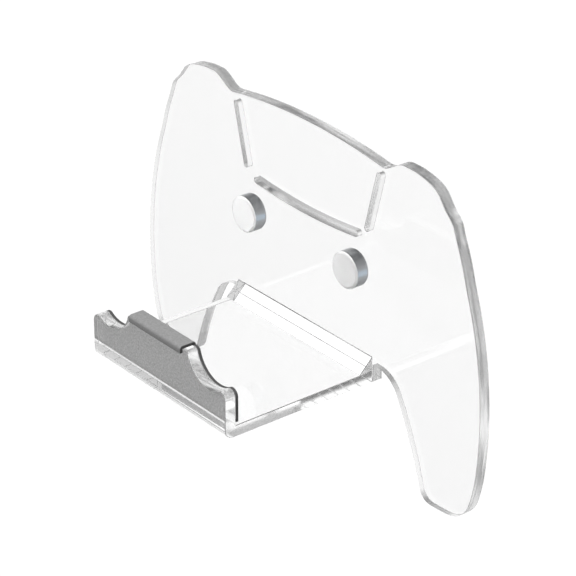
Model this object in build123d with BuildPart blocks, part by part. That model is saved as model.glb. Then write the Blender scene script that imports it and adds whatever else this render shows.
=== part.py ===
"""Wall-mounted stand for a game controller, in clear acrylic sheet.

Frame: X to the right as seen from the front, Y towards the wall, Z up.
The origin lies on the wall side of the back plate, midway between the two screw holes.
All sizes are in millimetres.
"""

import os

from build123d import *

# Sheet and the cemented joints
sheet = 3.8  # cast acrylic, sold as 4 mm
bond = 0.05  # film of cement between two bonded faces

# Back plate, outlined like a two-handed controller. Heights and depths are from the screw line
plate_width = 160.0
crown_height = 38.9
crown_rise = 2.9  # the crown falls this much to the dip beside each trigger shoulder
dip_radius = 5.0
dip_width = 6.9  # from the dip out to the shoulder's inner end
shoulder_rise = 4.1  # from the dip up to the shoulder
shoulder_width = 13.9
shoulder_fall = 1.5  # the shoulder slopes down a little towards its outer end
shoulder_radius = 6.0
shoulder_outer_radius = 9.0
neck_step = 5.1  # from the shoulder's outer end out to the neck
neck_drop = 5.9
neck_radius = 4.0
side_step = 3.6  # from the neck out to the top of the straight side
side_drop = 3.2
side_radius = 6.0
side_inset = 14.2
hip_inset = 5.9  # foot of the straight side, where the grip's long curve starts
hip_height = 6.4
hip_radius = 100.0
widest_depth = 31.5
tip_inset = 5.4
tip_depth = 64.3
tip_radius = 11.0
heel_inset = 24.1  # inner corner at the foot of the grip
heel_depth = 65.7
heel_radius = 5.0
foot_bulge = 80.0  # radius of the grip's lower edge
inner_bulge = 130.0  # radius of the grip's inner edge
crotch_depth = 29.8  # the plate's edge leaves the shelf's side at this depth
crotch_flat = 1.7
crotch_run = 9.2  # then it curves down into the grip's inner edge
crotch_fall = 5.3

# Slots through the plate, along the sides and the foot of a touch pad that starts beside the dips
slot_width = 2.0
slot_inset = 2.75  # from the dip in to the side slot's upper end
slot_depth = 3.1  # from the dip down to it
side_slot_lean = 4.9  # the side slot's lower end is this much further in
side_slot_drop = 18.8
low_slot_inset = 5.05  # from the side slot's lower end to the low slot's end
low_slot_drop = 3.6
low_slot_sag = 1.35  # the low slot's middle is this much below its ends

# Screw holes
screw_spacing = 48.4
screw_hole_radius = 2.5

# Shelf and its lip
shelf_width = 65.2
shelf_depth = 31.9  # top of the shelf below the screw line
reach = 59.6  # from the wall to the front of the lip
bend_outer_radius = 3.2
bend_inner_radius = 0.4
tab_height = 17.9  # raised centre of the lip, above the shelf's top
tab_radius = 1.5
post_height = 11.3  # low ends of the lip, above the shelf's top
post_radius = 2.4
post_inner_radius = 0.6
scallop_radius = 9.9
scallop_inset = 8.2  # from the shelf's side to the middle of the scallop
scallop_height = 19.6  # centre of the scallop's circle above the shelf's top

# Strip in the corner between plate and shelf
strip_leg = 5.0

# Foam pad on the lip
pad_thickness = 1.0
pad_gap = 1.0  # from the shelf's top to the pad's lower edge
pad_flap = 1.2  # how far the fold comes down the front of the raised centre
pad_fold_inset = 0.8  # from the end of the flat top to the end of the fold
glue = 0.05

# Caps over the wall screws, and the collars that they screw onto
cap_radius = 5.9
cap_length = 4.1
cap_wall = 1.0
cap_bevel_width = 0.85
cap_bevel_depth = 0.3
cap_rim_chamfer = 0.2
bore_radius = 4.5
bore_clearance = 0.1  # between the cap's bore and its collar
base_radius = 5.6
base_thickness = 0.45
collar_length = 2.6
countersink_radius = 3.9
screw_clearance_radius = 2.1

# Where the faces lie
half_width = plate_width / 2
shelf_half = shelf_width / 2
shelf_top = -shelf_depth
shelf_bottom = shelf_top - sheet
plate_front = -sheet
lip_front = -reach
lip_back = lip_front + sheet
scallop_x = shelf_half - scallop_inset


def at(x, height):
    """The corner of the sketch being drawn that lies nearest to a point."""
    return vertices().sort_by_distance((x, height, 0))[0]


# Outline of the back plate: its right half, mirrored about the middle
crown = (0, crown_height)
dip_height = crown_height - crown_rise
shoulder_height = dip_height + shoulder_rise
neck_height = shoulder_height - shoulder_fall - neck_drop
side = (half_width - side_inset, neck_height - side_drop)
neck = (side[0] - side_step, neck_height)
shoulder_outer = (neck[0] - neck_step, shoulder_height - shoulder_fall)
shoulder_inner = (shoulder_outer[0] - shoulder_width, shoulder_height)
dip = (shoulder_inner[0] - dip_width, dip_height)
hip = (half_width - hip_inset, hip_height)
widest = (half_width, -widest_depth)
tip = (half_width - tip_inset, -tip_depth)
heel = (half_width - heel_inset, -heel_depth)
crotch = (shelf_half + crotch_flat, -crotch_depth)
grip_root = (crotch[0] + crotch_run, -crotch_depth - crotch_fall)
with BuildSketch(Plane.XZ) as plate_outline:
    with BuildLine():
        TangentArc(crown, dip, tangent=(1, 0))
        Polyline(dip, shoulder_inner, shoulder_outer, neck, side, hip)
        TangentArc(widest, hip, tangent=(0, 1))
        TangentArc(widest, tip, tangent=(0, -1))
        RadiusArc(tip, heel, foot_bulge)
        RadiusArc(heel, grip_root, -inner_bulge)
        TangentArc(crotch, grip_root, tangent=(1, 0))
        Polyline(crotch, (shelf_half, -crotch_depth), (shelf_half, shelf_bottom), (0, shelf_bottom), crown)
    make_face()
    fillet(at(*dip), dip_radius)
    fillet(at(*shoulder_inner), shoulder_radius)
    fillet(at(*shoulder_outer), shoulder_outer_radius)
    fillet(at(*neck), neck_radius)
    fillet(at(*side), side_radius)
    fillet(at(*hip), hip_radius)
    fillet(at(*tip), tip_radius)
    fillet(at(*heel), heel_radius)
    mirror(about=Plane.YZ)

# Slots and screw holes through the back plate
side_slot_top = (dip[0] - slot_inset, dip[1] - slot_depth)
side_slot_foot = (side_slot_top[0] - side_slot_lean, side_slot_top[1] - side_slot_drop)
side_slot_middle = (Vector(side_slot_top) + Vector(side_slot_foot)) / 2
low_slot_end = Vector(side_slot_foot) - (low_slot_inset, low_slot_drop)
low_slot_start = low_slot_end - (2 * low_slot_end.X, 0)
low_line = ThreePointArc(low_slot_start, (0, low_slot_end.Y - low_slot_sag), low_slot_end)
with BuildSketch(Plane.XZ) as plate_cuts:
    SlotCenterPoint(side_slot_middle, side_slot_top, slot_width)
    mirror(about=Plane.YZ)
    SlotArc(low_line, slot_width)
    with GridLocations(screw_spacing, 0, 2, 1):
        Circle(screw_hole_radius)

with BuildPart() as back_plate:
    extrude(plate_outline.sketch, amount=sheet)
    extrude(plate_cuts.sketch, amount=sheet, mode=Mode.SUBTRACT)
back_plate.part.label = "back_plate"


def scallop_half(height):
    """Half the width of a scallop at a height above the shelf's top."""
    return (scallop_radius**2 - (scallop_height - height) ** 2) ** 0.5


def lip_face(foot):
    """The lip's outline: low posts at its ends, a raised tab in the middle, a round scallop between them.

    The foot is a height above the shelf's top. The bent sheet and the pad behind it share the rest.
    """
    tab_half = scallop_x - scallop_half(tab_height)
    post_start = scallop_x + scallop_half(post_height)
    with BuildSketch() as face:
        with Locations((0, shelf_top + foot)):
            Rectangle(shelf_width, post_height - foot, align=(Align.CENTER, Align.MIN))
            Rectangle(2 * scallop_x, tab_height - foot, align=(Align.CENTER, Align.MIN))
        with Locations((-scallop_x, shelf_top + scallop_height), (scallop_x, shelf_top + scallop_height)):
            Circle(scallop_radius, mode=Mode.SUBTRACT)
        for way in (-1, 1):
            fillet(at(way * shelf_half, shelf_top + post_height), post_radius)
            fillet(at(way * post_start, shelf_top + post_height), post_inner_radius)
            fillet(at(way * tab_half, shelf_top + tab_height), tab_radius)
    return face.sketch


# Shelf: one sheet, bent up at its front edge into the lip
bent_up = lip_face(foot=-sheet)
with BuildPart() as shelf:
    with BuildSketch(Plane.XZ.offset(-lip_back)):
        add(bent_up)
    extrude(amount=sheet)
    with BuildSketch(Plane.XY.offset(shelf_bottom)):
        with Locations((0, plate_front - bond)):
            Rectangle(shelf_width, plate_front - bond - lip_back, align=(Align.CENTER, Align.MAX))
    extrude(amount=sheet)
    outer_bend = edges().filter_by(Axis.X).sort_by_distance((0, lip_front, shelf_bottom))[0]
    fillet(outer_bend, bend_outer_radius)
    inner_bend = edges().filter_by(Axis.X).sort_by_distance((0, lip_back, shelf_top))[0]
    fillet(inner_bend, bend_inner_radius)
shelf.part.label = "shelf"

# Strip in the corner between plate and shelf, flush with the shelf's sides
strip_back = plate_front - bond
strip_foot = shelf_top + bond
with BuildPart() as corner_strip:
    with BuildSketch(Plane.YZ):
        with BuildLine():
            upper = (strip_back, strip_foot + strip_leg)
            outer = (strip_back - strip_leg, strip_foot)
            Polyline((strip_back, strip_foot), upper, outer, close=True)
        make_face()
    extrude(amount=shelf_half, both=True)
corner_strip.part.label = "corner_strip"

# Pad: a sheet of foam behind the lip, folded over the top of the raised tab
behind_lip = lip_face(foot=pad_gap)
fold_half = scallop_x - scallop_half(tab_height) - tab_radius - pad_fold_inset
fold_foot = shelf_top + tab_height - pad_flap
fold_top = shelf_top + tab_height + glue + pad_thickness
fold_front = lip_front - glue - pad_thickness
fold_back = lip_back + glue + pad_thickness
with BuildPart() as lip_pad:
    with BuildSketch(Plane.XZ.offset(-lip_back - glue)):
        add(behind_lip)
    extrude(amount=-pad_thickness)
    with BuildSketch(Plane.YZ):
        with Locations((fold_front, fold_foot)):
            Rectangle(fold_back - fold_front, fold_top - fold_foot, align=(Align.MIN, Align.MIN))
        fillet(at(fold_front, fold_top), pad_thickness)
        fillet(at(fold_back, fold_top), pad_thickness)
        with Locations((lip_front - glue, fold_foot)):
            lip_room = (sheet + 2 * glue, fold_top - fold_foot - pad_thickness)
            Rectangle(*lip_room, align=(Align.MIN, Align.MIN), mode=Mode.SUBTRACT)
    extrude(amount=fold_half, both=True)
lip_pad.part.label = "lip_pad"


def turn(x, points):
    """A piece turned about the screw axis at x, from points given as radius and distance off the plate."""
    with BuildPart() as turned:
        with BuildSketch(Plane.XY):
            with BuildLine():
                Polyline(*[(x + r, plate_front - d) for r, d in points], close=True)
            make_face()
        revolve(axis=Axis((x, 0, 0), (0, 1, 0)))
    return turned.part


# Collars, clamped to the plate by the wall screws, and the hollow caps over them
collars = {}
caps = {}
cap_foot = bond + base_thickness
cap_front = cap_foot + cap_length
collar_radius = bore_radius - bore_clearance
collar_front = cap_foot + collar_length
sink_depth = countersink_radius - screw_clearance_radius
for side_name, x in (("left", -screw_spacing / 2), ("right", screw_spacing / 2)):
    collars[side_name] = turn(
        x,
        [
            (screw_clearance_radius, bond),
            (base_radius, bond),
            (base_radius, cap_foot),
            (collar_radius, cap_foot),
            (collar_radius, collar_front),
            (countersink_radius, collar_front),
            (screw_clearance_radius, collar_front - sink_depth),
        ],
    )
    collars[side_name].label = side_name + "_cap_base"
    caps[side_name] = turn(
        x,
        [
            (bore_radius, cap_foot),
            (cap_radius - cap_rim_chamfer, cap_foot),
            (cap_radius, cap_foot + cap_rim_chamfer),
            (cap_radius, cap_front - cap_bevel_depth),
            (cap_radius - cap_bevel_width, cap_front),
            (0, cap_front),
            (0, cap_front - cap_wall),
            (bore_radius, cap_front - cap_wall),
        ],
    )
    caps[side_name].label = side_name + "_cap"

os.makedirs("parts", exist_ok=True)
acrylic = [back_plate.part, shelf.part, corner_strip.part]
for piece in [*acrylic, lip_pad.part, *collars.values(), *caps.values()]:
    export_step(piece, f"parts/{piece.label}.step")
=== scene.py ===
# %% [markdown]
# # A clear stand for a game controller
#
# The stand is cut and bent from clear acrylic sheet and hangs on a wall. Its solids already have the
# right shape, so this lesson is mostly about finishes: clear plastic that is seen by its edges, brushed
# steel, and thin foam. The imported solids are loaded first, and everything else is placed in the same
# frame: X to the right, Y towards the wall, Z up, in metres.

# %% Load the solids
import math

import bmesh
import bpy
import numpy as np
from mathutils import Matrix, Vector


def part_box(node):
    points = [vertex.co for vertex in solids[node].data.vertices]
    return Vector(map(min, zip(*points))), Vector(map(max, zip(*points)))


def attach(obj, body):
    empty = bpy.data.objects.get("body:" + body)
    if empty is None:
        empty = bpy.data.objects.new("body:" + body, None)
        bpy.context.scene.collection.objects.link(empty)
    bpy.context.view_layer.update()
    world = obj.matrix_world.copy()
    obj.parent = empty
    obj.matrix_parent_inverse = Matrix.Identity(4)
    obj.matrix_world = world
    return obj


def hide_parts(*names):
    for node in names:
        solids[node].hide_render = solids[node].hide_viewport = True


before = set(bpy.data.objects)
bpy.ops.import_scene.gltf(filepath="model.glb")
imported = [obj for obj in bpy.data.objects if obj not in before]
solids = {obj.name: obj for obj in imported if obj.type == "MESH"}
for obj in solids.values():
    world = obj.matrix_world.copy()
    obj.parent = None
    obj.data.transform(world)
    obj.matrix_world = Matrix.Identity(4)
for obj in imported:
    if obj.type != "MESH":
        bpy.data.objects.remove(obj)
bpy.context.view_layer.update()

MM = 0.001
print("solids:", ", ".join(sorted(solids)))

# %% [markdown]
# ## The camera
#
# The photograph was taken with a long lens, from the right and from above. The camera is set by what
# it looks at, how far away it stands, and three angles. A long lens keeps parallel edges nearly
# parallel, which suits a product made of straight sheet.

# %% Camera
AIM = Vector((-12.586 * MM, 0, -23.434 * MM))
DISTANCE = 850.31 * MM
AZIMUTH = math.radians(51.050)
ELEVATION = math.radians(27.357)
ROLL = math.radians(0.235)
SENSOR_WIDTH = 36
FRAME_PIXELS = 576
FOCAL_PIXELS = 2740.01

level_part = math.cos(ELEVATION)
backward = Vector((math.sin(AZIMUTH) * level_part, -math.cos(AZIMUTH) * level_part, math.sin(ELEVATION)))
level = Vector((math.cos(AZIMUTH), math.sin(AZIMUTH), 0))
rightward = math.cos(ROLL) * level + math.sin(ROLL) * backward.cross(level)
upward = backward.cross(rightward)
stand_point = AIM + backward * DISTANCE

camera_data = bpy.data.cameras.new("camera")
camera_data.sensor_width = SENSOR_WIDTH
camera_data.lens = SENSOR_WIDTH * FOCAL_PIXELS / FRAME_PIXELS
camera_data.clip_start = 0.01
camera_data.clip_end = 50
camera = bpy.data.objects.new("camera", camera_data)
camera.matrix_world = Matrix((
    (rightward.x, upward.x, backward.x, stand_point.x),
    (rightward.y, upward.y, backward.y, stand_point.y),
    (rightward.z, upward.z, backward.z, stand_point.z),
    (0, 0, 0, 1),
))
bpy.context.collection.objects.link(camera)
bpy.context.scene.camera = camera
print("lens", round(camera_data.lens, 1), "mm, camera at", [round(value, 3) for value in stand_point])

# %% [markdown]
# ## Helpers for materials
#
# Colours are written as the hex values that a screen shows, and one function turns them into the
# linear light that the renderer works in. Another adds a shader node, sets its inputs and joins its
# links in one call, so that each material below reads like a recipe.

# %% Colour and node helpers
def linear(hex_colour):
    """Screen colour such as "c8ccd0" to linear light: the sRGB curve undone channel by channel."""
    screen = np.array([int(hex_colour[i:i + 2], 16) / 255 for i in (0, 2, 4)])
    light = np.where(screen <= 0.04045, screen / 12.92, ((screen + 0.055) / 1.055) ** 2.4)
    return (*light.tolist(), 1.0)


def add_node(tree, kind, settings=None, inputs=None, links=None):
    """Adds a node to the tree. Inputs are values by socket, links are other nodes' outputs by socket."""
    node = tree.nodes.new(kind)
    for name, value in (settings or {}).items():
        setattr(node, name, value)
    for socket, value in (inputs or {}).items():
        node.inputs[socket].default_value = value
    for socket, output in (links or {}).items():
        tree.links.new(output, node.inputs[socket])
    return node


def new_material(name):
    """An empty material, its node tree and its output node."""
    material = bpy.data.materials.new(name)
    material.use_nodes = True
    material.node_tree.nodes.clear()
    return material, material.node_tree, add_node(material.node_tree, "ShaderNodeOutputMaterial")


def add_piece(name, mesh, node):
    """Puts a finished mesh in the scene as the piece that stands for one solid of the stand."""
    piece = bpy.data.objects.new(name, mesh)
    bpy.context.collection.objects.link(piece)
    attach(piece, "root")
    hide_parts(node)
    return piece


print("white is", linear("ffffff")[:3])

# %% [markdown]
# ## The faces of cast acrylic
#
# The stand is cast acrylic sheet, which leaves its glass mould with a glossy face. Real acrylic bends
# light with an index of 1.49, so a face mirrors the room weakly and lets nearly everything through. It
# could be made with a Glass shader, but the Principled shader exports better. Handling leaves a haze
# too faint to see as such, and it only keeps the reflections from being perfect.

# %% Cast acrylic
ACRYLIC_IOR = 1.49
HAZE = 20 * MM
HAZE_ROUGHNESS = 0.012


def cast_acrylic(name):
    """A cast face: clear and glossy, with patches of haze about as wide as a fingertip."""
    material, tree, output = new_material(name)
    place = add_node(tree, "ShaderNodeTexCoord").outputs["Object"]
    haze = add_node(tree, "ShaderNodeTexNoise", inputs={"Scale": 1 / HAZE, "Detail": 3.0},
                    links={"Vector": place})
    wear = add_node(tree, "ShaderNodeMapRange", inputs={"To Min": 0.0, "To Max": HAZE_ROUGHNESS},
                    links={"Value": haze.outputs["Fac"]})
    gloss = add_node(tree, "ShaderNodeBsdfPrincipled", inputs={
        "Base Color": linear("ffffff"), "IOR": ACRYLIC_IOR, "Transmission Weight": 1.0,
    }, links={"Roughness": wear.outputs["Result"]})
    tree.links.new(gloss.outputs["BSDF"], output.inputs["Surface"])
    return material


cast_face = cast_acrylic("cast_acrylic_face")
print("finish:", cast_face.name)

# %% [markdown]
# ## The cut edges of acrylic
#
# A cutter leaves an edge satin, with fine tool lines that run along it. Light that is caught in the
# sheet comes out at these edges, so they carry most of what the eye sees. The grooves get a greyer
# tint, which is painted shade, and the ridges a lighter one. Real tool lines lie about a tenth of a
# millimetre apart. They are too fine for the picture, so they are drawn 0.9 mm apart. The pattern is
# stretched along X and Z and keeps its scale across the thickness of the sheet, which is what makes
# lines out of plain noise.
#
# The plate's rim is satin. The walls of its slots are satin too, but show hardly any grooves, and the
# edges of the shelf and its lip are polished. Where two faces meet, the corner was scraped to take off
# the burr. This narrow matt strip is called an arris, and its grey tint is painted shade that draws it
# as a fine grey outline.

# %% Cut acrylic
TOOL_LINE = 0.9 * MM
ALONG_EDGE = 0.05
# The part of the noise's range that goes from the groove's painted shade to the ridge's lighter tint.
GROOVE_LEVEL = 0.35
RIDGE_LEVEL = 0.6


def cut_acrylic(name, roughness, shaded_groove, lit_ridge, depth):
    """Cut edge with tool lines: grooves in painted shade, ridges in a lighter tint, pressed in to a depth.
    """
    material, tree, output = new_material(name)
    place = add_node(tree, "ShaderNodeTexCoord").outputs["Object"]
    stretch = add_node(tree, "ShaderNodeMapping", inputs={"Scale": (ALONG_EDGE, 1.0, ALONG_EDGE)},
                       links={"Vector": place})
    lines = add_node(tree, "ShaderNodeTexNoise", inputs={"Scale": 1 / TOOL_LINE, "Detail": 1.0},
                     links={"Vector": stretch.outputs["Vector"]})
    marks = add_node(tree, "ShaderNodeBump", inputs={"Distance": depth},
                     links={"Height": lines.outputs["Fac"]})
    spread = add_node(tree, "ShaderNodeMapRange", inputs={"From Min": GROOVE_LEVEL, "From Max": RIDGE_LEVEL},
                      links={"Value": lines.outputs["Fac"]})
    tint = add_node(tree, "ShaderNodeMix", {"data_type": "RGBA"},
                    {"A": linear(shaded_groove), "B": linear(lit_ridge)}, {"Factor": spread.outputs["Result"]})
    satin = add_node(tree, "ShaderNodeBsdfPrincipled", inputs={
        "Roughness": roughness, "IOR": ACRYLIC_IOR, "Transmission Weight": 1.0,
    }, links={"Base Color": tint.outputs["Result"], "Normal": marks.outputs["Normal"]})
    tree.links.new(satin.outputs["BSDF"], output.inputs["Surface"])
    return material


# The grey groove tints are painted shade on clear plastic, strongest on the satin rim.
satin_rim_painted_shade = cut_acrylic("satin_cut_acrylic_edge_painted_shade", roughness=0.2,
                        shaded_groove="9c9c9c", lit_ridge="eaeaea", depth=0.06 * MM)
polished_edge = cut_acrylic("polished_acrylic_edge", roughness=0.12,
                            shaded_groove="f4f4f4", lit_ridge="ffffff", depth=0.002 * MM)
# The arris is painted grey all over: painted shade that outlines every corner.
scraped_arris_painted_shade = cut_acrylic("scraped_acrylic_arris_painted_shade", roughness=0.3,
                            shaded_groove="8c8c8c", lit_ridge="a4a4a4", depth=0.01 * MM)
slot_wall = cut_acrylic("satin_acrylic_slot_wall", roughness=0.2,
                        shaded_groove="f4f4f4", lit_ridge="ffffff", depth=0.01 * MM)
plate_finish = (cast_face, satin_rim_painted_shade, scraped_arris_painted_shade, slot_wall)
shelf_finish = (cast_face, polished_edge, scraped_arris_painted_shade)
CAST = 0
CUT = 1
ARRIS = 2
SLOT = 3
print("finishes of the plate:", [material.name for material in plate_finish])

# %% [markdown]
# ## Which faces were cast and which were cut
#
# Each acrylic solid is copied, and the copy's faces are sorted by the direction they face and by where
# they lie. This is done on arrays of all normals and middles at once. The alternative is to pick faces
# by hand, which would have to be done again after every change to the solids.

# %% Sorting the faces
shelf_low, shelf_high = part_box("shelf")
plate_low, plate_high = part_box("back_plate")
sheet = plate_high[1] - plate_low[1]
above_shelf = shelf_low[2] + sheet + 2 * MM
# A face looks along an axis if its unit normal has more than ALONG on it, and leans with LEANING.
ALONG = 0.5
LEANING = 0.05
SLOTS_HALF = 36 * MM
SLOTS_LOW = 5 * MM
SLOTS_HIGH = 35 * MM


def plate_faces(normals, middles):
    """The plate is cut wherever it doesn't face the wall or the room. The slots lie in its middle."""
    cut = np.abs(normals[:, 1]) < ALONG
    across = np.abs(middles[:, 0])
    height = middles[:, 2]
    slot = (across < SLOTS_HALF) & (height > SLOTS_LOW) & (height < SLOTS_HIGH)
    return np.where(cut, np.where(slot, SLOT, CUT), CAST)


def shelf_faces(normals, middles):
    """The shelf is cut at its sides, and along the lip's top, where a face above the shelf looks up."""
    sideways = np.abs(normals[:, 0]) > LEANING
    lip_top = (middles[:, 2] > above_shelf) & (np.abs(normals[:, 1]) < ALONG)
    return np.where(sideways | lip_top, CUT, CAST)


def strip_faces(normals, middles):
    """The corner strip is cut at its two ends."""
    return np.where(np.abs(normals[:, 0]) > ALONG, CUT, CAST)


print("sheet is", round(sheet / MM, 2), "mm thick")

# %% [markdown]
# ## A fuller outline for the plate
#
# At four places on each side, the photographed outline is up to half a millimetre fuller than the
# solid's. Long runs near these places are divided, and every corner there moves outwards by a bell
# curve. A bell curve fades to nothing on both sides, so no kink shows where the bow begins or ends.

# %% Bows in the outline
LONG_RUN = 4 * MM
RUN_CUTS = 8
RIM_NORMAL = 0.1
# Each bow: how far from the middle, how high, how far it spreads, and how far it stands out.
BOWS = np.array([
    (49.4, 39.4, 4.0, 0.45),
    (60.0, 35.5, 3.5, 0.40),
    (69.8, 18.4, 6.0, 0.35),
    (77.5, -50.0, 8.0, 0.35),
]) * MM


def bow_distances(points):
    """Distance of every point from every bow, in the plate's plane, the same on both sides."""
    place = np.stack([np.abs(points[:, 0]), points[:, 2]], axis=1)
    return np.linalg.norm(place[:, None] - BOWS[None, :, :2], axis=2)


def divide_runs(form):
    """Long straight runs of the rim that pass near a bow are divided."""
    edges = list(form.edges)
    middles = np.array([(edge.verts[0].co + edge.verts[1].co)[:] for edge in edges]) / 2
    near = (bow_distances(middles) < 2 * BOWS[:, 2]).any(axis=1)
    runs = []
    for edge, close in zip(edges, near):
        facing = [abs(face.normal.y) for face in edge.link_faces]
        if close and edge.calc_length() > LONG_RUN and max(facing) > ALONG > min(facing):
            runs.append(edge)
    bmesh.ops.subdivide_edges(form, edges=runs, cuts=RUN_CUTS)


def bow_out(points, normals):
    """Moves the points out along their normals, in the plate's plane, by the sum over the bows of
    height * exp(-(distance / spread) ** 2)."""
    outward = normals * (1, 0, 1)
    length = np.linalg.norm(outward, axis=1, keepdims=True)
    outward = np.where(length > RIM_NORMAL, outward / np.maximum(length, RIM_NORMAL), 0)
    shift = BOWS[:, 3] * np.exp(-(bow_distances(points) / BOWS[:, 2]) ** 2)
    return points + outward * shift.sum(axis=1, keepdims=True)


print(len(BOWS), "bows on each side of the plate")

# %% [markdown]
# ## The sheets and the strip
#
# A solid's mesh comes as loose triangles. The copy is merged, and its flat faces are joined, because a
# bevel only follows clean edges. The arris is a Bevel of a fifth of a millimetre. Curved runs are
# shaded smooth, but the border of every large face is marked sharp. Otherwise the smoothing would bend
# the reflections in a face that is really flat. The pieces throw no shadow, because the sun lamp used
# below would see clear plastic as opaque.

# %% Acrylic pieces
MERGE = 0.001 * MM
FLAT_ANGLE = math.radians(0.2)
SMOOTH_ANGLE = math.radians(30)
ARRIS_ANGLE = math.radians(50)
ARRIS_WIDTH = 0.2 * MM
LARGE_FACE = 50 * MM ** 2


def merged_copy(node, bowed):
    """Points and faces of a solid, with its triangles merged and its flat faces joined."""
    form = bmesh.new()
    form.from_mesh(solids[node].data)
    bmesh.ops.remove_doubles(form, verts=form.verts, dist=MERGE)
    bmesh.ops.dissolve_limit(form, angle_limit=FLAT_ANGLE, verts=form.verts, edges=form.edges)
    if bowed:
        divide_runs(form)
    form.normal_update()
    form.verts.index_update()
    points = np.array([corner.co[:] for corner in form.verts])
    if bowed:
        points = bow_out(points, np.array([corner.normal[:] for corner in form.verts]))
    faces = [[corner.index for corner in face.verts] for face in form.faces]
    form.free()
    return points, faces


def mark_large_faces(mesh):
    """The border of every face larger than LARGE_FACE becomes sharp."""
    area = np.zeros(len(mesh.polygons))
    corners = np.zeros(len(mesh.polygons), dtype=np.int32)
    border = np.zeros(len(mesh.loops), dtype=np.int32)
    sharp = np.zeros(len(mesh.edges), dtype=bool)
    mesh.polygons.foreach_get("area", area)
    mesh.polygons.foreach_get("loop_total", corners)
    mesh.loops.foreach_get("edge_index", border)
    mesh.edges.foreach_get("use_edge_sharp", sharp)
    sharp[border[np.repeat(area > LARGE_FACE, corners)]] = True
    mesh.edges.foreach_set("use_edge_sharp", sharp)


def acrylic_piece(node, name, finish, sort_faces, bowed=False):
    """A merged copy of a solid with its faces sorted into finishes and an arris on its corners."""
    points, faces = merged_copy(node, bowed)
    mesh = bpy.data.meshes.new(name)
    mesh.from_pydata(points.tolist(), [], faces)
    normals = np.array([face.normal[:] for face in mesh.polygons])
    middles = np.array([face.center[:] for face in mesh.polygons])
    kinds = sort_faces(normals, middles).astype(np.int32)
    for material in finish:
        mesh.materials.append(material)
    mesh.polygons.foreach_set("material_index", kinds)
    mesh.shade_smooth()
    mesh.set_sharp_from_angle(angle=SMOOTH_ANGLE)
    mark_large_faces(mesh)
    piece = add_piece(name, mesh, node)
    arris = piece.modifiers.new("arris", "BEVEL")
    arris.width = ARRIS_WIDTH
    arris.segments = 1
    arris.limit_method = "ANGLE"
    arris.angle_limit = ARRIS_ANGLE
    arris.material = ARRIS
    piece.visible_shadow = False
    print(name, "has", len(faces), "faces,", int((kinds != CAST).sum()), "of them cut")
    return piece


acrylic_piece("back_plate", "clear_back_plate", plate_finish, plate_faces, bowed=True)
acrylic_piece("shelf", "clear_shelf", shelf_finish, shelf_faces)
acrylic_piece("corner_strip", "clear_corner_strip", shelf_finish, strip_faces)

# %% [markdown]
# ## The outline of the foam pad
#
# A thin foam pad is glued behind the lip and folded over the top of its raised middle, so that the
# controller doesn't scratch. It is die-cut to the lip's own outline: a raised tab in the middle, a
# round scallop on each side, and a low post at each end. The outline is a chain of circular arcs, each
# touching the next. Where a small corner touches the scallop's circle, the distance between their
# centres is the sum of the two radii, and that gives the corner's place.

# %% Pad outline
pad_low, pad_high = (np.array(corner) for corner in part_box("lip_pad"))
pad_half = pad_high[0]
tab_top = shelf_high[2]
scallop_centre = np.array([24.4, -12.3]) * MM
SCALLOP_RADIUS = 9.9 * MM
POST_TOP = -20.6 * MM
TAB_CORNER = 1.5 * MM
POST_CORNER = 0.6 * MM
END_CORNER = 2.4 * MM
QUARTER = math.pi / 2


def arc(centre, radius, start, end, steps):
    """Points on a circle: the centre plus the radius times the cosine and sine of even angles."""
    angles = np.linspace(start, end, steps)
    return np.stack([centre[0] + radius * np.cos(angles), centre[1] + radius * np.sin(angles)], axis=1)


def corner_centre(height, radius, way):
    """Centre of a small arc that touches a level edge from below and the scallop from outside."""
    drop = scallop_centre[1] - (height - radius)
    reach = math.sqrt((SCALLOP_RADIUS + radius) ** 2 - drop ** 2)
    return np.array([scallop_centre[0] + way * reach, height - radius])


def angle_to_scallop(centre):
    """The angle at which the scallop's centre is seen from another centre."""
    across, height = scallop_centre - centre
    return math.atan2(height, across)


def lip_outline():
    """Right half of the lip's upper outline: tab, corner, scallop, corner, low post, end corner."""
    tab = corner_centre(tab_top, TAB_CORNER, -1)
    post = corner_centre(POST_TOP, POST_CORNER, 1)
    end = np.array([pad_half - END_CORNER, POST_TOP - END_CORNER])
    tab_angle = angle_to_scallop(tab)
    post_angle = angle_to_scallop(post)
    return np.concatenate([
        arc(tab, TAB_CORNER, QUARTER, tab_angle, steps=9),
        arc(scallop_centre, SCALLOP_RADIUS, tab_angle + math.pi, post_angle + math.pi, steps=29)[1:],
        arc(post, POST_CORNER, post_angle, QUARTER, steps=5)[1:],
        arc(end, END_CORNER, QUARTER, 0, steps=11),
    ])


outline = lip_outline()
print("pad outline:", len(outline), "points a side, ending", round(float(pad_half / MM), 1), "mm out")

# %% [markdown]
# ## The surface of the pad
#
# The pad's middle surface is a grid of two parameters, across and up, from its foot to the outline. A
# tongue goes on from the grid's top row, over the lip and a little down its front. A grid was chosen
# because its rows stay level, so the foam bends in one clean fold, as a real strip does.

# %% Pad surface
FOAM = 1.0 * MM
GLUE = 0.05 * MM
FOLD_INSET = 0.8 * MM
FLAP = 1.2 * MM
ROWS = 9
TONGUE_COLUMNS = 25
bend = GLUE + FOAM / 2
lip_front = shelf_low[1]
lip_back = lip_front + sheet
flap_foot = pad_high[2] - GLUE - FOAM - FLAP
fold_half = outline[0, 0] - FOLD_INSET
tongue_x = np.linspace(-fold_half, fold_half, TONGUE_COLUMNS)


def tongue_path():
    """Depths and heights along the tongue: over the lip's back corner, across its top, down its front."""
    over = arc((lip_back, tab_top), bend, 0, QUARTER, steps=7)
    across = arc((lip_front, tab_top), bend, QUARTER, math.pi, steps=7)
    heights = np.linspace(tab_top, flap_foot, 4)
    down = np.stack([np.full(4, lip_front - bend), heights], axis=1)
    return np.concatenate([over[1:], across, down[1:]])


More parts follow.
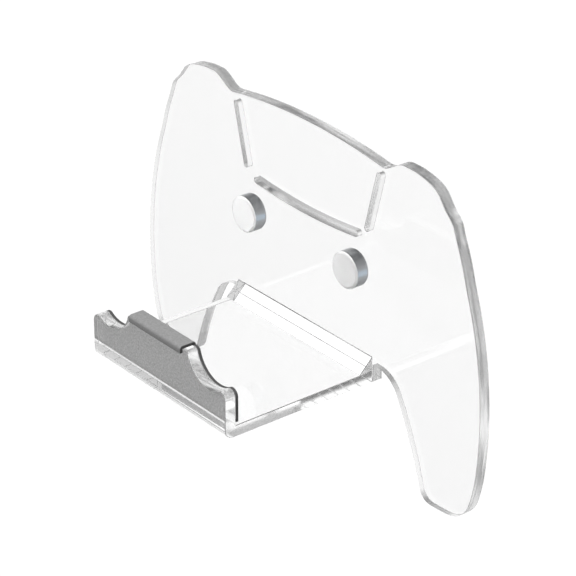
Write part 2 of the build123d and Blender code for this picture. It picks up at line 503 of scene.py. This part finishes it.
def grid_faces(index):
    """Quads between the neighbours in a grid of point numbers."""
    quads = np.stack([index[:-1, :-1], index[:-1, 1:], index[1:, 1:], index[1:, :-1]], axis=2)
    return quads.reshape(-1, 4)


def pad_surface():
    """Behind the lip, a point's height runs from the foot to the outline in equal steps, at every x of
    the outline. The tongue goes on from the top row along its own path."""
    side_x, side_top = outline.T
    x = np.concatenate([-side_x[::-1], tongue_x, side_x])
    top = np.concatenate([side_top[::-1], np.full(len(tongue_x), tab_top), side_top])
    height = pad_low[2] + np.linspace(0, 1, ROWS)[:, None] * (top - pad_low[2])
    back = np.stack([
        np.broadcast_to(x, height.shape),
        np.full(height.shape, lip_back + bend),
        height,
    ], axis=2)
    path = tongue_path()
    shape = (len(path), len(tongue_x))
    tongue = np.stack([
        np.broadcast_to(tongue_x, shape),
        np.broadcast_to(path[:, :1], shape),
        np.broadcast_to(path[:, 1:], shape),
    ], axis=2)
    back_index = np.arange(ROWS * len(x)).reshape(ROWS, len(x))
    tongue_index = ROWS * len(x) + np.arange(shape[0] * shape[1]).reshape(shape)
    first = len(side_x)
    tongue_index = np.concatenate([back_index[-1:, first:first + len(tongue_x)], tongue_index])
    points = np.concatenate([back.reshape(-1, 3), tongue.reshape(-1, 3)])
    return points, np.concatenate([grid_faces(back_index), grid_faces(tongue_index)])


pad_points, pad_quads = pad_surface()
print("pad surface:", len(pad_points), "points,", len(pad_quads), "faces")

# %% [markdown]
# ## Foam finishes
#
# The foam is closed-cell EVA, skived from a block and cut with a die. It has three looks: a smooth
# outer skin, the paler glued side that shows through the clear lip with its speckle of glue, and the
# darker open cells along the cut. Foam is very matt, and its cells are about a tenth of a millimetre.
# The speckle is drawn 0.6 mm wide, a few times its real size, so that the picture can show it.

# %% Foam materials
CELL = 0.12 * MM
SPECKLE = 0.6 * MM


def eva_foam(name, light, dark, depth):
    """Foam with a speckle between two greys, and cells pressed in to a depth."""
    material, tree, output = new_material(name)
    place = add_node(tree, "ShaderNodeTexCoord").outputs["Object"]
    speckle = add_node(tree, "ShaderNodeTexNoise", links={"Vector": place},
                       inputs={"Scale": 1 / SPECKLE, "Detail": 3.0, "Roughness": 0.7})
    spread = add_node(tree, "ShaderNodeMapRange", inputs={"From Min": 0.3, "From Max": 0.7},
                      links={"Value": speckle.outputs["Fac"]})
    grey = add_node(tree, "ShaderNodeMix", {"data_type": "RGBA"}, {"A": linear(dark), "B": linear(light)},
                    {"Factor": spread.outputs["Result"]})
    cells = add_node(tree, "ShaderNodeTexVoronoi", inputs={"Scale": 1 / CELL}, links={"Vector": place})
    relief = add_node(tree, "ShaderNodeBump", inputs={"Strength": 0.5, "Distance": depth},
                      links={"Height": cells.outputs["Distance"]})
    surface = add_node(tree, "ShaderNodeBsdfPrincipled", inputs={
        "Roughness": 0.85, "Specular IOR Level": 0.2,
    }, links={"Base Color": grey.outputs["Result"], "Normal": relief.outputs["Normal"]})
    tree.links.new(surface.outputs["BSDF"], output.inputs["Surface"])
    return material


foam_skin = eva_foam("eva_foam_skin", light="949494", dark="828282", depth=0.02 * MM)
glued_foam = eva_foam("eva_foam_glued_side", light="d6d6d6", dark="a0a0a0", depth=0.03 * MM)
cut_foam = eva_foam("eva_foam_cut_cells", light="5a5a5a", dark="484848", depth=0.05 * MM)
print("foam finishes:", foam_skin.name, glued_foam.name, cut_foam.name)

# %% [markdown]
# ## The pad
#
# Solidify gives the surface its thickness and hands out the three finishes: the glued side, the skin,
# and the cut edge between them. A small Bevel rounds the corners, because a die presses soft foam
# before it cuts it. The pad is hidden from reflections and throws no shadow, since the photograph
# shows neither in the clear sheet.

# %% Pad piece
PAD_ROUNDING = 0.15 * MM
mesh = bpy.data.meshes.new("folded_foam_pad")
mesh.from_pydata(pad_points.tolist(), [], pad_quads.tolist())
for finish in (glued_foam, foam_skin, cut_foam):
    mesh.materials.append(finish)
mesh.shade_smooth()
foam_pad = add_piece("folded_foam_pad", mesh, "lip_pad")
thickness = foam_pad.modifiers.new("thickness", "SOLIDIFY")
thickness.thickness = FOAM
thickness.offset = 0
thickness.material_offset = 1
thickness.material_offset_rim = 2
rounding = foam_pad.modifiers.new("rounding", "BEVEL")
rounding.width = PAD_ROUNDING
rounding.segments = 2
rounding.limit_method = "ANGLE"
rounding.angle_limit = math.radians(60)
foam_pad.visible_glossy = False
foam_pad.visible_shadow = False
print("pad's first face looks along", [round(value, 2) for value in mesh.polygons[0].normal])

# %% [markdown]
# ## Turned steel
#
# The caps and the collars behind them are turned from stainless steel and brushed while they spin, so
# fine rings run round the axis. The face is faced and the side brushed. The face's steel colour is
# painted lighter, as painted light, and that of the side and the collars darker, as painted shade.
# Noise that is looked up by the distance from the axis and the depth, instead of by place, can only
# make rings.
# Brush marks are a few hundredths of a millimetre wide. They are drawn 0.22 mm apart, which is about as
# fine as the picture can show.

# %% Steel
RING = 0.22 * MM
RING_DEPTH = 0.012 * MM
# Steel colours: the face's is painted light, the side's and the collars' painted shade.
FACED_STEEL_PAINTED_LIGHT = "e8e8e8"
BRUSHED_STEEL_PAINTED_SHADE = "a0a2a4"


def turned_steel(name, centre_x, colour, roughness):
    """Steel with rings about an axis along Y: noise whose place is (distance from the axis, depth)."""
    material, tree, output = new_material(name)
    place = add_node(tree, "ShaderNodeTexCoord").outputs["Object"]
    centred = add_node(tree, "ShaderNodeMapping", inputs={"Location": (-centre_x, 0, 0)},
                       links={"Vector": place})
    axes = add_node(tree, "ShaderNodeSeparateXYZ", links={"Vector": centred.outputs["Vector"]})
    across = add_node(tree, "ShaderNodeCombineXYZ",
                      links={"X": axes.outputs["X"], "Y": axes.outputs["Z"]})
    radius = add_node(tree, "ShaderNodeVectorMath", {"operation": "LENGTH"},
                      links={0: across.outputs["Vector"]})
    ring = add_node(tree, "ShaderNodeCombineXYZ",
                    links={"X": radius.outputs["Value"], "Y": axes.outputs["Y"]})
    brush = add_node(tree, "ShaderNodeTexNoise", inputs={"Scale": 1 / RING, "Detail": 2.0},
                     links={"Vector": ring.outputs["Vector"]})
    relief = add_node(tree, "ShaderNodeBump", inputs={"Strength": 0.5, "Distance": RING_DEPTH},
                      links={"Height": brush.outputs["Fac"]})
    steel = add_node(tree, "ShaderNodeBsdfPrincipled", inputs={
        "Base Color": linear(colour), "Metallic": 1.0, "Roughness": roughness,
    }, links={"Normal": relief.outputs["Normal"]})
    tree.links.new(steel.outputs["BSDF"], output.inputs["Surface"])
    return material


print("rings drawn every", round(RING / MM, 2), "mm")

# %% [markdown]
# ## The caps
#
# A turned part is one profile swept round an axis, so a cap's surface is its profile times a circle.
# The front is a raised disk inside a narrow rim, a tenth of a millimetre lower. The photograph shows it
# as a pale ring, and the rim catches the light on its own. Inside, the cap is hollow and has the bore
# that goes over its collar.

# %% Cap surface
FACE_STEP = 0.12 * MM
RIM_WIDTH = 0.65 * MM
RIM_DEPTH = 0.3 * MM
CORNER = 0.05 * MM
CAP_WALL = 1.0 * MM
CAP_CHAMFER = 0.2 * MM
CAP_BORE = 4.5 * MM
RIM_BAND = 3
TURNS = 96


def cap_profile(outer, front, foot):
    """Distance from the axis and depth: the middle of the face, the rim, the side, and the bore."""
    face = outer - RIM_WIDTH
    roof = front + CAP_WALL
    return np.array([
        (0, front),
        (face, front),
        (face + CORNER, front + FACE_STEP),
        (outer - CORNER, front + RIM_DEPTH),
        (outer, front + RIM_DEPTH + CORNER),
        (outer, foot - CAP_CHAMFER),
        (outer - CAP_CHAMFER, foot),
        (CAP_BORE, foot),
        (CAP_BORE, roof),
        (0, roof),
    ])


def turned_surface(profile, centre_x):
    """Points (centre + radius * cos, depth, radius * sin) for every profile point and every angle, with
    quads between neighbours, and for each quad the number of its band in the profile."""
    angle = np.linspace(0, 2 * math.pi, TURNS, endpoint=False)
    radius = profile[:, :1]
    depth = profile[:, 1:]
    points = np.stack([
        centre_x + radius * np.cos(angle),
        depth + 0 * angle,
        radius * np.sin(angle),
    ], axis=2)
    index = np.arange(len(profile) * TURNS).reshape(-1, TURNS)
    after = np.roll(index, -1, axis=1)
    quads = np.stack([index[:-1], index[1:], after[1:], after[:-1]], axis=2).reshape(-1, 4)
    return points.reshape(-1, 3), quads, np.repeat(np.arange(len(profile) - 1), TURNS)


print("cap surface:", TURNS, "steps round the axis")

# %% [markdown]
# ## The caps in place
#
# Where the profile meets the axis, all points of a turn fall together. Merging them closes the pole,
# and the normals are then worked out again so that they point outwards. The collars are good as solids
# and only get a finish. Steel is hidden from reflections, because the photograph shows no second cap
# in the clear sheet beside the real one.

# %% Cap pieces
FACED_ROUGHNESS = 0.3
BRUSHED_ROUGHNESS = 0.25
SHARP_ANGLE = math.radians(12)


def close_poles(mesh):
    """Merges the points that fall together on the axis, and turns the faces outwards."""
    form = bmesh.new()
    form.from_mesh(mesh)
    bmesh.ops.remove_doubles(form, verts=form.verts, dist=MERGE)
    bmesh.ops.recalc_face_normals(form, faces=form.faces)
    form.to_mesh(mesh)
    form.free()


def steel_cap(side):
    """One hollow cap, faced in front with painted light, brushed round its side with painted shade."""
    low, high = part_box(side + "_cap")
    centre_x = (low[0] + high[0]) / 2
    profile = cap_profile((high[0] - low[0]) / 2, low[1], high[1])
    points, quads, band = turned_surface(profile, centre_x)
    mesh = bpy.data.meshes.new("steel_cap_" + side)
    mesh.from_pydata(points.tolist(), [], quads.tolist())
    # The face gets the lighter steel as painted light, the side the darker as painted shade.
    mesh.materials.append(
        turned_steel("faced_steel_painted_light_" + side, centre_x, FACED_STEEL_PAINTED_LIGHT, FACED_ROUGHNESS))
    mesh.materials.append(
        turned_steel("brushed_steel_painted_shade_" + side, centre_x, BRUSHED_STEEL_PAINTED_SHADE, BRUSHED_ROUGHNESS))
    mesh.polygons.foreach_set("material_index", (band > RIM_BAND).astype(np.int32))
    close_poles(mesh)
    mesh.shade_smooth()
    mesh.set_sharp_from_angle(angle=SHARP_ANGLE)
    cap = add_piece("steel_cap_" + side, mesh, side + "_cap")
    cap.visible_glossy = False
    collar = solids[side + "_cap_base"]
    collar.data.materials.clear()
    collar.data.materials.append(
        turned_steel("collar_steel_painted_shade_" + side, centre_x, BRUSHED_STEEL_PAINTED_SHADE, BRUSHED_ROUGHNESS))
    collar.visible_glossy = False
    print(cap.name, "has", len(mesh.polygons), "faces")
    return cap


caps = [steel_cap(side) for side in ("left", "right")]

# %% [markdown]
# ## The floor
#
# The stand hangs in front of white. The floor is plain white paper a metre below, wide enough to fill
# the picture behind the stand. Light that was reflected on its way passes through it, so that a
# reflection shows the studio and not the paper.

# %% Floor
FLOOR_SIZE = 12
FLOOR_HEIGHT = -1.0
bpy.ops.mesh.primitive_grid_add(x_subdivisions=8, y_subdivisions=8, size=FLOOR_SIZE,
                                location=(0, 0, FLOOR_HEIGHT))
floor = bpy.context.object
floor.name = "floor"
paper, tree, output = new_material("white_paper")
matt = add_node(tree, "ShaderNodeBsdfPrincipled",
                inputs={"Base Color": linear("e3e3e3"), "Roughness": 1.0, "Specular IOR Level": 0.0})
path = add_node(tree, "ShaderNodeLightPath")
mirrored = add_node(tree, "ShaderNodeMath", {"operation": "GREATER_THAN"}, {1: 0.5},
                    {0: path.outputs["Glossy Depth"]})
open_air = add_node(tree, "ShaderNodeBsdfTransparent")
seen = add_node(tree, "ShaderNodeMixShader", links={
    0: mirrored.outputs["Value"], 1: matt.outputs["BSDF"], 2: open_air.outputs["BSDF"],
})
tree.links.new(seen.outputs["Shader"], output.inputs["Surface"])
floor.data.materials.append(paper)
floor.visible_diffuse = False
floor.visible_glossy = False
print("floor", FLOOR_SIZE, "m wide at z", FLOOR_HEIGHT)

# %% [markdown]
# ## The studio
#
# Clear plastic shows nothing but its surroundings, so the studio is the most important part of its
# finish. A straight look through the sheet sees white. Light that was mirrored, in a face or inside an
# edge, comes from a grey room with soft panels and dark flags, as a photographer sets them up to give
# clear things an outline. Each panel is a soft patch on the sky, and a flag is a patch of negative
# strength. Matt surfaces see a dim even fill instead.

# %% Studio light
ROOM = 0.65
WHITE = 1.02
FILL = 0.3
# Each patch: where it is, the cosines between which it fades in, and its strength.
PATCHES = (
    # A broad panel in front, on the left and above, for the rim and the corner strip.
    ((-0.50, -0.65, 0.50), 0.50, 0.95, 0.6),
    # A narrow panel low behind, which the shelf's side and the lip's end mirror.
    ((-0.69, 0.56, -0.46), 0.93, 0.99, 0.6),
    # A broad panel low on the right, for the slots' left walls.
    ((0.77, 0.54, -0.34), 0.60, 0.95, 0.4),
    # A flag high behind, which keeps grey in the cut edges.
    ((-0.10, 0.50, 0.83), 0.80, 0.97, -0.35),
    # A small flag that the shelf's upper face mirrors.
    ((-0.69, 0.56, 0.46), 0.955, 0.98, -0.35),
    # A panel behind on the left, for the middle slot and the scallops.
    ((-0.62, 0.78, 0.10), 0.85, 0.97, 0.35),
    # A flag low in front, which keeps grey in the top edge.
    ((-0.54, -0.45, -0.71), 0.80, 0.98, -0.5),
)
world = bpy.data.worlds.new("studio")
world.use_nodes = True
tree = world.node_tree
tree.nodes.clear()
direction = add_node(tree, "ShaderNodeTexCoord").outputs["Generated"]


def soft_patch(towards, low, high, strength):
    """Light by the cosine between a direction and the patch's own, ramped smoothly from low to high."""
    facing = add_node(tree, "ShaderNodeVectorMath", {"operation": "DOT_PRODUCT"},
                      {1: Vector(towards).normalized()}, {0: direction})
    ramp = add_node(tree, "ShaderNodeMapRange", {"interpolation_type": "SMOOTHSTEP"},
                    {"From Min": low, "From Max": high, "To Min": 0.0, "To Max": strength},
                    {"Value": facing.outputs["Value"]})
    return ramp.outputs["Result"]


patches = [soft_patch(*patch) for patch in PATCHES]
light = add_node(tree, "ShaderNodeMath", {"operation": "ADD"}, {0: ROOM}, {1: patches[0]})
for patch in patches[1:]:
    light = add_node(tree, "ShaderNodeMath", {"operation": "ADD"},
                     links={0: light.outputs["Value"], 1: patch})
studio = add_node(tree, "ShaderNodeBackground", inputs={"Color": linear("ffffff")},
                  links={"Strength": light.outputs["Value"]})
white = add_node(tree, "ShaderNodeBackground", inputs={"Color": linear("ffffff"), "Strength": WHITE})
fill = add_node(tree, "ShaderNodeBackground", inputs={"Color": linear("ffffff"), "Strength": FILL})
print(len(patches), "patches in a room of", ROOM)

# %% [markdown]
# ## Who sees what
#
# The Light Path node tells how often a ray was mirrored or scattered before it reached the sky. Two
# Mix nodes use this to choose between the white, the studio and the fill. Clear sheet bounces light
# many times, so the number of bounces is raised until the edges stop changing.

# %% Rays and bounces
BOUNCES = 64
path = add_node(tree, "ShaderNodeLightPath")
mirrored = add_node(tree, "ShaderNodeMath", {"operation": "GREATER_THAN"}, {1: 0.5},
                    {0: path.outputs["Glossy Depth"]})
scattered = add_node(tree, "ShaderNodeMath", {"operation": "GREATER_THAN"}, {1: 0.5},
                     {0: path.outputs["Diffuse Depth"]})
clear_view = add_node(tree, "ShaderNodeMixShader", links={
    0: mirrored.outputs["Value"], 1: white.outputs["Background"], 2: studio.outputs["Background"],
})
any_view = add_node(tree, "ShaderNodeMixShader", links={
    0: scattered.outputs["Value"], 1: clear_view.outputs["Shader"], 2: fill.outputs["Background"],
})
add_node(tree, "ShaderNodeOutputWorld", links={"Surface": any_view.outputs["Shader"]})
scene = bpy.context.scene
scene.world = world
scene.view_settings.view_transform = "Standard"
scene.cycles.max_bounces = BOUNCES
scene.cycles.transmission_bounces = BOUNCES
scene.cycles.glossy_bounces = BOUNCES
print("world set, up to", BOUNCES, "bounces")

# %% [markdown]
# ## The lamps
#
# A wide soft sun from above lights what is matt, the foam and the paper, evenly and from far away. It
# is hidden from the camera and from rays that are mirrored or pass through the sheet, so it makes no
# bright spot in it. Three round lamps light the caps alone: two give their faces a soft sheen, and a
# pale blue one colours the lower part of their sides. They take no part in the sampling of mirrored
# rays, because the shelf lies between them and the right cap and would swallow their light.

# %% Lamps
SUN_STRENGTH = 3.5
SUN_SPREAD = math.radians(25)
SUN_PLACE = (0.3, -0.45, 1.3)


def aim_at_stand(lamp, place):
    """Turns a lamp at a place so that it shines on the origin."""
    lamp.rotation_euler = Vector(place).to_track_quat("Z", "Y").to_euler()


sun_data = bpy.data.lights.new("overhead", "SUN")
sun_data.energy = SUN_STRENGTH
sun_data.angle = SUN_SPREAD
overhead = bpy.data.objects.new("overhead", sun_data)
aim_at_stand(overhead, SUN_PLACE)
bpy.context.collection.objects.link(overhead)
overhead.visible_camera = False
overhead.visible_glossy = False
overhead.visible_transmission = False

caps_only = bpy.data.collections.new("caps")
for cap in caps:
    caps_only.objects.link(cap)


def cap_lamp(name, place, size, energy, colour):
    """A round lamp that faces the origin, lights only the caps, and isn't seen by the camera."""
    data = bpy.data.lights.new(name, "AREA")
    data.shape = "DISK"
    data.size = size
    data.energy = energy
    data.color = linear(colour)[:3]
    data.cycles.use_multiple_importance_sampling = False
    lamp = bpy.data.objects.new(name, data)
    lamp.location = place
    aim_at_stand(lamp, place)
    bpy.context.collection.objects.link(lamp)
    lamp.visible_camera = False
    lamp.visible_diffuse = False
    lamp.light_linking.receiver_collection = caps_only


cap_lamp("cap_lamp", place=(-0.41, -0.28, -0.21), size=0.12, energy=0.04, colour="ffffff")
cap_lamp("side_cap_lamp", place=(0.40, 0.28, -0.14), size=0.25, energy=0.12, colour="b0d4f0")
cap_lamp("wide_cap_lamp", place=(-0.36, -0.29, -0.23), size=0.7, energy=0.5, colour="ffffff")
print("one overhead lamp and three for the caps")
